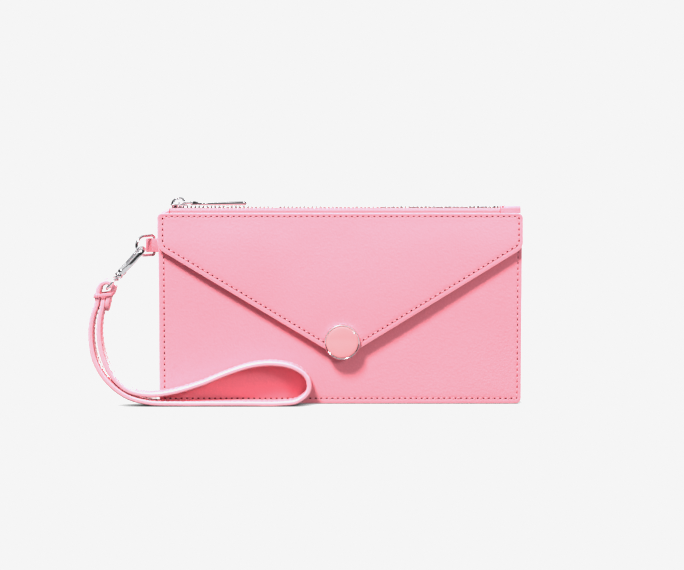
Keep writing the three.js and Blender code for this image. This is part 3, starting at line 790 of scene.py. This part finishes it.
def flap_corners(top, shrink=0.0):
    """Corners of the flap, counter-clockwise from its point."""
    half = FLAP_HALF - shrink
    return [(FLAP_POINT[0], FLAP_POINT[1] + shrink, 8 * MM, 1.0),
            (half, FLAP_SHOULDER_Z, 4 * MM, RIGHT_SHARE),
            (half, top, 3 * MM, TOP_SHARE),
            (-half, top, 3 * MM, 1.0),
            (-half, FLAP_SHOULDER_Z, 4 * MM, 1.0)]


def lean(z):
    """How far the flap stands forward at a height: it bows out below the hinge line."""
    left = 1 - min(1, max(0.0, HINGE.z - z) / FLAP_DROP)
    return FLAP_REACH * (1 - left ** 3)


def flap_place(x, z, height):
    """height is measured from the leather's own back face, which waves half as much."""
    wave = FLAP_WAVE * math.sin(x * 42 + z * 18) * math.cos(z * 60 - x * 9)
    wave *= min(1, max(0, (HINGE.z - z) / WAVE_START)) * (1 if height > FLAP_LEATHER / 2 else 0.5)
    return Vector((x, HINGE.y + FLAP_LEATHER - height - lean(z) + wave, z))


def build_flap():
    corners = flap_corners(CASE_TOP)
    shape, slots = panel(corners, FLAP_LEATHER - 0.1 * MM, flap_place, crown=0.2 * MM)
    flap = Parts().add(shape, slots).make("flap", [OUTER, EDGE], slot="leather_outer",
                                          replaces=["flap_outer", "flap_root_strip"])
    surface = FLAP_LEATHER - 0.14 * MM
    row = outline(corners, STITCH_INSET)
    seam = Seam()
    seam.row(row, lambda x, z, height: flap_place(x, z, surface + height), closed=True)
    for piece in [flap, *seam.make("flap")]:
        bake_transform(piece)

    # the lining behind the leather
    def behind(x, z, height):
        return Vector((x, HINGE.y + FLAP_LEATHER + 0.1 * MM + height - lean(z), z))

    corners = flap_corners(HINGE.z - 0.4 * MM, shrink=0.3 * MM)
    shape, slots = panel(corners, 0.4 * MM, behind, groove=False, crown=0)
    Parts().add(shape, slots).make("flap_back", [INNER, EDGE], "flap", ["flap_lining"], "leather_inner")


build_flap()

# ---------------------------------------------------------------- clasp and snap
CLASP_TILT = math.radians(2)  # the medallion leans with the flap


def build_clasp():
    """Turned pieces, as (radius, height) in millimetres."""
    tilt = Vector((0, -math.cos(CLASP_TILT), -math.sin(CLASP_TILT)))
    middle, size = middle_and_size("clasp_rim")
    back = Vector((middle.x, HINGE.y + 0.05 * MM - lean(middle.z), middle.z))
    r = size.x / 2 / MM
    rim = [(0, 0), (r - 0.5, 0), (r - 0.1, 0.25), (r, 0.8), (r, 1.5), (r - 0.12, 1.95), (r - 0.4, 2.2),
           (r - 0.75, 2.15), (r - 0.98, 1.9), (r - 1.05, 1.2), (r - 1.1, 1.0), (0, 1.0)]
    cover("clasp_rim", "medallion_rim", "flap", PLATED, lathe(mm(*rim), back, tilt, 96))
    pill = r - 1.08
    dome = [(0, 1.02), (pill, 1.02)]
    dome += [(pill * math.cos(t), 1.75 + 0.65 * math.sin(t) ** 0.8) for t in sweep(math.pi / 2, 8)]
    cover("clasp_enamel", "medallion_enamel", "flap", (ENAMEL, "enamel"),
          lathe(mm(*dome), back, tilt, 96))

    middle, size = middle_and_size("snap_stud")
    r = size.x / 2 / MM
    stud = [(0, 0), (r, 0), (r, 0.35), (r - 0.3, 0.55), (2.6, 0.6), (2.3, 1.0), (1.2, 1.12), (0, 1.15)]
    start = middle + tilt * 0.55 * MM
    cover("snap_stud", "snap_head", "flap", NICKEL, lathe(mm(*stud), start, -tilt))
    middle, size = middle_and_size("snap_socket")
    cup = [(0, 0), (r, 0), (r, 0.5), (r - 0.4, 0.85), (3.4, 0.85), (3.0, 0.5), (0, 0.45)]
    start = middle + Y_AXIS * (size.y / 2)
    cover("snap_socket", "snap_cup", "case", NICKEL, lathe(mm(*cup), start, -Y_AXIS))


build_clasp()

# ---------------------------------------------------------------- zip
ZIP_Y = 0.9 * MM
ZIP_SIDES = ((-1, "front"), (1, "back"))
TAPE_HALF = 0.25 * MM  # half of the tape's thickness
TEETH_STAND = 0.7 * MM  # how far the tape lies below its CAD solid
RIDGE_Z = 111.8 * MM  # a woven rib along the tape, just above the case
RIDGE = 0.14 * MM
TOOTH_PITCH = 2.34 * MM
TOOTH_WIDTH = 1.0 * MM
TOOTH_FOOT = 1.25  # a tooth's foot lies beyond it, in millimetres from the zip's middle
# a tooth from its foot to its tip: (mm from the zip's middle, share of its width, of its height)
TOOTH = [(1.95, 0.7, 0.3), (1.85, 0.9, 0.45), (1.25, 1.0, 1.0), (0.95, 0.8, 0.92),
         (0.6, 1.15, 0.98), (0.4, 1.1, 0.9), (0.3, 0.6, 0.6)]
FOLD_THICK = 1.2 * MM
FOLD_RADIUS = 1.0 * MM
LEFT_SLOPE = 3.2 * MM  # how much higher the left end stands at the tape than at the case's side
RIGHT_RISE = 0.25 * MM
# half of the slider's plan, from the zip's end to its tail: (mm along, share of its width)
SLIDER_PLAN = [(0, 0.55), (0.4, 0.8), (1.2, 0.97), (2.6, 1.0), (4.4, 0.95), (6.4, 0.8), (8.6, 0.7),
               (9.6, 0.62), (10.2, 0.4)]
HOOP_RADIUS = 4.0 * MM
HOOP_WIRE = 0.8 * MM
LINK_HALF = 1.45 * MM
LINK_WIRE = 0.5 * MM
# the pull from its slim eye to its round, thicker end: (along, half width, half height, rise) in mm
PULL = [(-1.3, 0.35, 0.5, 0.0), (-1.1, 0.6, 0.95, 0.0), (-0.4, 0.72, 1.25, 0.0), (1.2, 0.75, 1.28, 0.0),
        (2.4, 0.85, 1.15, -0.1), (4.0, 1.2, 0.95, -0.3), (6.5, 1.65, 0.85, -0.42),
        (12, 1.95, 0.92, -0.36), (18, 2.15, 1.05, -0.22), (23, 2.3, 1.18, -0.1),
        (27.5, 2.4, 1.28, 0.0), (29.6, 2.25, 1.26, 0.0), (30.8, 1.7, 1.12, 0.0),
        (31.3, 1.1, 0.9, 0.0), (31.5, 0.5, 0.6, 0.0)]


def build_tapes():
    for side, name in ZIP_SIDES:
        low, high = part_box(f"zip_tape_{name}")
        outer = (low.y if side < 0 else high.y) - side * TAPE_HALF
        top = high.z - TAPE_HALF - TEETH_STAND
        # side view of the tape's middle line: up, over a soft bend, and in to the teeth
        line = [(outer, low.z), (outer, RIDGE_Z - 1.2 * MM), (outer, RIDGE_Z), (outer, top - 0.8 * MM),
                (outer - side * 0.2 * MM, top - 0.3 * MM), (outer - side * 0.6 * MM, top),
                (ZIP_Y + side * 2.1 * MM, top)]
        curve = catmull([(0, y, z) for y, z in line], 4)
        face, back = [], []
        for p, way in zip(curve, tangents(curve)):
            out = way.cross(X_AXIS) * (TAPE_HALF + (RIDGE if abs(p.z - RIDGE_Z) < 0.2 * MM else 0))
            face.append(p + out)
            back.append(p - out)
        loops = []
        for station in even([Vector((low.x, 0, 0)), Vector((high.x, 0, 0))], 3 * MM):
            slack = -side * 0.08 * MM * math.sin(station.x * 95)
            loops.append([p + station + Y_AXIS * slack for p in face + back[::-1]])
        cover(f"zip_tape_{name}", f"tape_{name}", "case", (TAPE, "zip_tape"), loft(loops), sharp=70)


def tooth(x, side, z, height):
    """One moulded metal tooth: a foot that slopes down over the bead, and a rounded head."""
    loops = []
    for out, wide, tall in TOOTH:
        section = round_box(TOOTH_WIDTH * wide, height * tall, 0.28 * MM * min(wide, tall), 2)
        drop = height * max(0, 0.9 - tall) / 2 if out > TOOTH_FOOT else 0
        loops.append([Vector((x + a, ZIP_Y + side * out * MM, z + b - drop)) for a, b in section])
    return loft(loops)


def build_teeth():
    for side, name in ZIP_SIDES:
        low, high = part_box(f"zip_teeth_{name}")
        teeth = []
        x = low.x + 1.0 * MM + (TOOTH_PITCH / 2 if side > 0 else 0)
        while x < high.x - 0.6 * MM:
            teeth.append(tooth(x, side, (low.z + high.z) / 2, high.z - low.z))
            x += TOOTH_PITCH
        cover(f"zip_teeth_{name}", f"teeth_{name}", "case", PLATED, *teeth)
    middle, size = middle_and_size("zip_bottom_stop")
    section = round_box(size.x, size.z, 0.3 * MM)
    stations = [(-0.5, 0.7), (-0.45, 1.0), (0.45, 1.0), (0.5, 0.7)]
    loops = [[middle + Vector((a * k, t * size.y, b * k)) for a, b in section] for t, k in stations]
    cover("zip_bottom_stop", "bottom_stop", "case", PLATED, loft(loops))


def build_end_tabs():
    """Folded leather over the tapes' two ends. The left one slopes up to the tape, and the right
    one lies over the tape's end."""
    for name, slope, rise in (("left", LEFT_SLOPE, 0), ("right", 0, RIGHT_RISE)):
        low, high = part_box(f"zip_end_tab_{name}")
        half, r = FOLD_THICK / 2, FOLD_RADIUS
        y0, y1, top = low.y + half, high.y - half, high.z - half
        bend = sweep(math.pi / 2, 5)
        line = [(y0, low.z)]
        line += [(y0 + r * (1 - math.cos(t)), top - r * (1 - math.sin(t))) for t in bend]
        line += [(y1 - r * (1 - math.sin(t)), top - r * (1 - math.cos(t))) for t in bend]
        line += [(y1, low.z)]
        path = even([Vector(((low.x + high.x) / 2, y, z)) for y, z in line], 0.5 * MM)
        wide = high.x - low.x
        loops = swept(path, round_box(wide, FOLD_THICK, 0.45 * MM), side=X_AXIS)
        loops = [[p + Z_AXIS * (rise + slope * (p.x - low.x) / wide) for p in loop] for loop in loops]
        cover(f"zip_end_tab_{name}", f"end_fold_{name}", "case", LEATHER, loft(loops))
    low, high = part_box("zip_end_tab_right")
    x = low.x + 1.4 * MM
    seam = Seam()
    seam.row([(x, low.z + 3.6 * MM), (x, high.z + RIGHT_RISE - 0.9 * MM)], facing(low.y + 0.1 * MM),
             pitch=2.4 * MM)
    seam.make("end_fold", "case")


def slider_plate(x, z, thick, half):
    """A plate of the slider: two round wings at the zip's end, narrowing to the tail."""
    plan = [(x + along * MM, half * share) for along, share in SLIDER_PLAN]
    ring = plan + [(a, -b) for a, b in reversed(plan)]
    return slab(ring, thick, 0.28 * MM, lambda a, b, h: Vector((a, ZIP_Y + b, z + thick / 2 + h)))


def build_slider():
    low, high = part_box("slider_body")
    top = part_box("zip_teeth_front")[1].z + 0.3 * MM
    upper = slider_plate(low.x, top, 0.7 * MM, 3.2 * MM)
    lower = slider_plate(low.x, low.z, 1.1 * MM, 2.4 * MM)
    web = round_box(3.2 * MM, 0.24 * MM, 0.1 * MM)
    web = [[Vector((low.x + 2.4 * MM + a, ZIP_Y + b, z)) for a, b in web]
           for z in (low.z + 0.5 * MM, top + 0.3 * MM)]
    # the bridge is a round hoop
    base = Vector(((low.x + high.x) / 2, ZIP_Y, top + 0.2 * MM))
    arc = [base + Vector((-math.cos(t), 0, math.sin(t))) * HOOP_RADIUS for t in sweep(math.pi, 28)]
    sunk = Z_AXIS * (0.3 * MM)
    arc = [arc[0] - sunk, *arc, arc[-1] - sunk]
    bridge = swept(arc, circle(HOOP_WIRE, 20), side=Y_AXIS)
    cover("slider_body", "slider", "zip_slider", PLATED, upper, lower, loft(web), loft(bridge), sharp=50)


def build_pull():
    start, end = PIVOT["link_hinge"], PIVOT["pull_hinge"]
    # half of the link: (from where, along it in mm, share of its half width)
    half = [(start, 0, 0.7), (start, 0.6, 1), (end, -0.6, 1), (end, 0, 0.7)]
    ring = [start] + [p + Vector((x * MM, LINK_HALF * share, 0)) for p, x, share in half]
    ring += [end] + [p + Vector((x * MM, -LINK_HALF * share, 0)) for p, x, share in reversed(half)]
    wire = tube(catmull(ring, 6, closed=True), LINK_WIRE, 12, closed=True)
    cover("pull_link", "link", "zip_link", PLATED, wire)

    loops = []
    for x, wide, tall, rise in PULL:
        section = round_box(2 * wide * MM, 2 * tall * MM, min(wide, tall) * 0.8 * MM, 6)
        loops.append([end + Vector((x * MM, a, rise * MM + b)) for a, b in section])
    cover("pull_tab", "pull", "zip_pull", PLATED, loft(loops), sharp=60)


build_tapes()
build_teeth()
build_end_tabs()
build_slider()
build_pull()

# ---------------------------------------------------------------- ring, hook and eye
RING_WIRE = 0.8 * MM
RING_HALF = 5.6 * MM
RING_STRAIGHT = 7.4 * MM
RING_CORNER = 0.7 * MM
RING_TURN = math.radians(45)  # how far it is turned forward
STRIP_THICK = 0.85 * MM  # the leather round its bar

LINK = PIVOT["hook_swing"]
EYE = PIVOT["strap_swing"]
HOOK_UP = (LINK - EYE).normalized()
EYE_ACROSS = HOOK_UP.cross(-Y_AXIS).normalized()
EYE_SPINE = EYE_ACROSS.cross(HOOK_UP).normalized()
HOOK_TURN = math.radians(15)
HOOK_SPINE = EYE_SPINE * math.cos(HOOK_TURN) + EYE_ACROSS * math.sin(HOOK_TURN)
HOOK_ACROSS = EYE_ACROSS * math.cos(HOOK_TURN) - EYE_SPINE * math.sin(HOOK_TURN)
HOOK_THICK = 2.8 * MM
EYE_WIRE = 0.74 * MM


def build_ring():
    bar = PIVOT["ring_swing"]
    low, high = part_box("ring_tab")
    tunnel = RING_WIRE + 0.25 * MM
    middle = tunnel + STRIP_THICK / 2
    left = low.x + tunnel + STRIP_THICK
    # the strip lies against the case, goes round the bar, and comes back
    line = [(high.x, -middle), (left + 2 * MM, -middle * 0.98)]
    line += [(left - middle * math.sin(t), -middle * math.cos(t)) for t in sweep(math.pi, 12)]
    line += [(left + 2 * MM, middle * 0.98), (high.x, middle)]
    path = even([Vector((x, bar.y + y, bar.z)) for x, y in line], 0.5 * MM)
    section = round_box(high.z - low.z - 0.4 * MM, STRIP_THICK, 0.36 * MM)
    cover("ring_tab", "ring_fold", "case", LEATHER, loft(swept(path, section, side=Z_AXIS)))

    # the ring, (out, up) from the middle of its bar
    corner = [(0, RING_HALF / 2), (0, RING_HALF - RING_CORNER), (RING_CORNER, RING_HALF),
              (RING_STRAIGHT / 2, RING_HALF)]
    bow = [(RING_STRAIGHT + RING_HALF * math.sin(t), RING_HALF * math.cos(t)) for t in sweep(math.pi, 12)]
    points = [(0, 0), *corner, *bow, *[(a, -b) for a, b in reversed(corner)]]
    out = Vector((-math.cos(RING_TURN), -math.sin(RING_TURN), 0))
    line = catmull([bar + out * a + Z_AXIS * b for a, b in points], 5, closed=True)
    cover("d_ring", "ring_wire", "ring", PLATED, tube(line, RING_WIRE, 20, closed=True))


def hook_place(spine, up, across):
    return LINK + HOOK_SPINE * spine + HOOK_UP * up + HOOK_ACROSS * across


def bezier(p0, p1, p2, p3, steps=8):
    """A cubic curve's points, without its last one."""
    points = []
    for k in range(steps):
        t = k / steps
        weights = ((1 - t) ** 3, 3 * t * (1 - t) ** 2, 3 * t * t * (1 - t), t ** 3)
        points.append(tuple(sum(w * p[i] for w, p in zip(weights, (p0, p1, p2, p3))) for i in (0, 1)))
    return points


def build_hook():
    """The hook, its gate's pin, and the gate. Their outlines are (spine, up) in millimetres, and
    the turned pieces (radius, up)."""
    claw = [(-4.6, -0.9)]
    claw += bezier((-4.6, 0.2), (-4.4, 3.2), (-2.2, 4.5), (0.2, 4.5))
    claw += bezier((0.2, 4.5), (3.4, 4.5), (5.1, 2.4), (5.1, -0.8))
    claw += bezier((5.1, -0.8), (5.1, -3), (5.1, -6), (5.1, -8.2), 3)
    claw += bezier((5.1, -8.2), (5.1, -11.8), (2.5, -12.6), (2.4, -15.2))
    claw += [(2.4, -15.2), (-2.4, -15.2), (-3.4, -14.2), (-4.5, -13.2), (-4.6, -11.5), (-4.6, -9.7)]
    claw += [(-3.0, -9.7), (-0.6, -9.7), (1.7, -9.7)]
    claw += bezier((1.9, -9.7), (2.6, -9.6), (2.9, -9.2), (2.9, -8.3), 4)
    claw += bezier((2.9, -8.3), (2.9, -6), (2.9, -3), (2.9, -0.8), 3)
    claw += bezier((2.9, -0.8), (2.9, 1.3), (1.7, 2.4), (0.2, 2.4))
    claw += bezier((0.2, 2.4), (-1.4, 2.4), (-2.7, 1.3), (-2.7, -0.9))
    claw += [(-2.7, -0.9)]
    barrel = [(0, -18.4), (1.7, -18.4), (2.15, -18.3), (2.4, -18.0), (2.45, -17.3), (2.4, -16.7),
              (2.05, -16.4), (2.0, -16.1), (2.05, -15.8), (2.4, -15.5), (2.5, -14.6), (2.4, -13.2),
              (1.9, -12.8), (0, -12.7)]
    cover("hook_body", "hook", "hook", PLATED, slab(mm(*claw), HOOK_THICK, 0.5 * MM, hook_place),
          lathe(mm(*barrel), LINK, HOOK_UP, 40), sharp=50)

    reach = HOOK_THICK / 2 + 0.15 * MM
    pin = [(0, -1), (0.465, -1), (0.496, -0.96), (0.496, 0.96), (0.465, 1), (0, 1)]
    pin = [(radius * MM, share * reach) for radius, share in pin]
    at = hook_place(-3.4 * MM, -11.4 * MM, 0)
    cover("gate_pin", "gate_rivet", "hook", NICKEL, lathe(pin, at, HOOK_ACROSS, 24))

    blade = [(-4.4, -9.4), (-4.4, -6.5), (-4.4, -4.2), (-4.9, -3.9), (-5.3, -3.4), (-5.35, -2.9),
             (-5.3, -2.4), (-4.9, -1.9), (-4.4, -1.6), (-4.3, -1.3), (-2.8, -1.3), (-2.7, -2.5),
             (-2.7, -6), (-2.7, -9.4)]
    foot = [(-4.2, -10.8), (-4.2, -8.6), (-3.0, -8.6), (-3.0, -10.8)]
    cover("hook_gate", "gate", "gate", PLATED,
          slab(mm(*blade), HOOK_THICK - 0.2 * MM, 0.35 * MM, hook_place),
          slab(mm(*foot), 1.2 * MM, 0.1 * MM, hook_place), sharp=50)


def build_eye():
    """A rounded square ring on a turned stem, in millimetres below the link."""
    low, high, side = -(LINK - EYE).length / MM, -20.15, 7.6
    right = [(side - 2, low), (side - 0.6, low + 0.6), (side, low + 2),
             (side, high - 2.2), (side - 0.8, high - 0.6), (side - 2.4, high)]
    left = [(-a, b) for a, b in reversed(right)]
    corners = mm(*left[3:], (0, low), *right, (0, high), *left[:3])
    line = catmull([LINK + EYE_SPINE * a + HOOK_UP * b for a, b in corners], 6, closed=True)
    stem = [(0, -20.6), (1.5, -20.6), (2.0, -20.0), (1.7, -19.2), (1.0, -18.8), (0.9, -18.4),
            (0.9, -9.4), (1.5, -9.3), (1.5, -8.8), (1.2, -8.6), (0, -8.55)]
    cover("swivel_eye", "eye_ring", "eye", PLATED, tube(line, EYE_WIRE, 16, closed=True),
          lathe(mm(*stem), LINK, HOOK_UP, 32), sharp=50)


build_ring()
build_hook()
build_eye()

# ---------------------------------------------------------------- studio
FLOOR_FRONT, FLOOR_BACK, FLOOR_SIDE = 0.25, 0.6, 0.5
# which way each sun shines, its power, and its width in degrees
SUNS = {
    "key_light": (Vector((0.66, 1.0, -1.75)), 7.6, 14),
    "side_light": (Vector((-0.9, 1.0, -0.5)), 1.05, 12),
    "back_light": (Vector((-0.3, -1.0, -0.25)), 3.2, 20),
}
SKY = 0.54  # the light that comes from all round
ROSE = (1, 0.64, 0.8, 1)  # its colour, which stands for the leather's own reflected light
FLOOR_GLOW = 0.2  # the light that comes from the floor
MIRRORED = 0.94  # how bright the studio looks in the metal
DARK = 0.04  # and the dark wall behind the camera in it
WHITE = 1.2  # the backdrop, beyond the picture's white level
WHITE_LEVEL = 0.913  # what the brightest parts come out as
CONTACT = 9 * MM  # how far the shadow under the object reaches


def pick(paint, camera, mirror, other):
    """A brightness: other for all light, with camera added for camera rays and mirror for
    reflections."""
    path = paint.nodes.new("ShaderNodeLightPath")
    rest = paint.math("ADD", paint.math("MULTIPLY", path.outputs["Is Glossy Ray"], mirror), other)
    seen = paint.math("MULTIPLY", path.outputs["Is Camera Ray"], camera)
    return paint.math("ADD", rest, seen)


def make_floor():
    """A white, glowing floor, with a painted shadow only where the object rests on it."""
    x, front, back, z = FLOOR_SIDE, -FLOOR_FRONT, FLOOR_BACK, -0.02 * MM
    corners = [Vector(p) for p in ((-x, front, z), (x, front, z), (x, back, z), (-x, back, z))]
    paint = Paint("floor_white", 0.7)
    nodes, links = paint.nodes, paint.links
    nodes.remove(paint.shader)
    shelter, glow = nodes.new("ShaderNodeAmbientOcclusion"), nodes.new("ShaderNodeEmission")
    shelter.inputs["Distance"].default_value = CONTACT
    shelter.samples = 8
    # painted shadow: ambient occlusion dims the floor's glow close to the object
    dark = paint.math("POWER", paint.remap(shelter.outputs["AO"], 0, 1, 0.1, 0.8), 0.8)
    level = pick(paint, WHITE - FLOOR_GLOW, MIRRORED - FLOOR_GLOW, FLOOR_GLOW)
    links.new(paint.math("MULTIPLY", dark, level), glow.inputs["Strength"])
    links.new(paint.blend(paint.noise(3), (0.99, 0.99, 0.99, 1), (1, 1, 1, 1)), glow.inputs["Color"])
    links.new(glow.outputs[0], nodes["Material Output"].inputs["Surface"])
    Parts().add((corners, [[0, 1, 2, 3]])).make("floor", [paint.material])


def make_sun(name, way, power, angle):
    sun = bpy.data.objects.new(name, bpy.data.lights.new(name, "SUN"))
    bpy.context.scene.collection.objects.link(sun)
    sun.data.energy = power
    sun.data.angle = math.radians(angle)
    sun.rotation_mode = "QUATERNION"
    sun.rotation_quaternion = way.to_track_quat("-Z", "Y")


class Sky(Paint):
    """Paint's short ways, for the world."""

    def __init__(self, world):
        world.use_nodes = True
        self.nodes, self.links = world.node_tree.nodes, world.node_tree.links
        self.place = self.nodes.new("ShaderNodeTexCoord").outputs["Generated"]


def make_sky():
    """White all round. Metal mirrors a dark wall in front, a bar above it and a flag on each
    side, which give it its dark lines."""
    world = bpy.data.worlds.new("studio")
    bpy.context.scene.world = world
    sky = Sky(world)
    split = sky.nodes.new("ShaderNodeSeparateXYZ")
    sky.put(split.inputs[0], sky.place)
    across, along, up = (split.outputs[axis] for axis in "XYZ")
    ahead = sky.remap(along, 1, 0, -0.5, -0.3)
    level = sky.math("MULTIPLY", sky.remap(up, 0, 1, -0.3, -0.24), sky.remap(up, 1, 0, 0.3, 0.4))
    bar = sky.math("MULTIPLY", sky.remap(up, 0, 1, 0.48, 0.52), sky.remap(up, 1, 0, 0.62, 0.66))
    flags = sky.remap(sky.math("ABSOLUTE", across, 0), 0, 1, 0.74, 0.82)
    wall = sky.math("MAXIMUM", flags, sky.math("MULTIPLY", ahead, sky.math("MAXIMUM", level, bar)))
    mirror = sky.math("SUBTRACT", MIRRORED - SKY, sky.math("MULTIPLY", wall, MIRRORED - DARK))
    sky.links.new(pick(sky, WHITE - SKY, mirror, SKY), sky.nodes["Background"].inputs["Strength"])
    path = sky.nodes.new("ShaderNodeLightPath")
    shown = sky.math("MAXIMUM", path.outputs["Is Camera Ray"], path.outputs["Is Glossy Ray"])
    sky.links.new(sky.blend(shown, ROSE, (1, 1, 1, 1)), sky.nodes["Background"].inputs["Color"])


def set_tone():
    """The picture's tone: straight up to the white level, and flat above it."""
    view = bpy.context.scene.view_settings
    view.view_transform = "Standard"
    view.use_curve_mapping = True
    curve = view.curve_mapping
    curve.extend = "HORIZONTAL"
    curve.curves[3].points[1].location = (1.0, WHITE_LEVEL)
    curve.update()


make_floor()
for sun_name, (sun_way, sun_power, sun_angle) in SUNS.items():
    make_sun(sun_name, sun_way, sun_power, sun_angle)
make_sky()
set_tone()
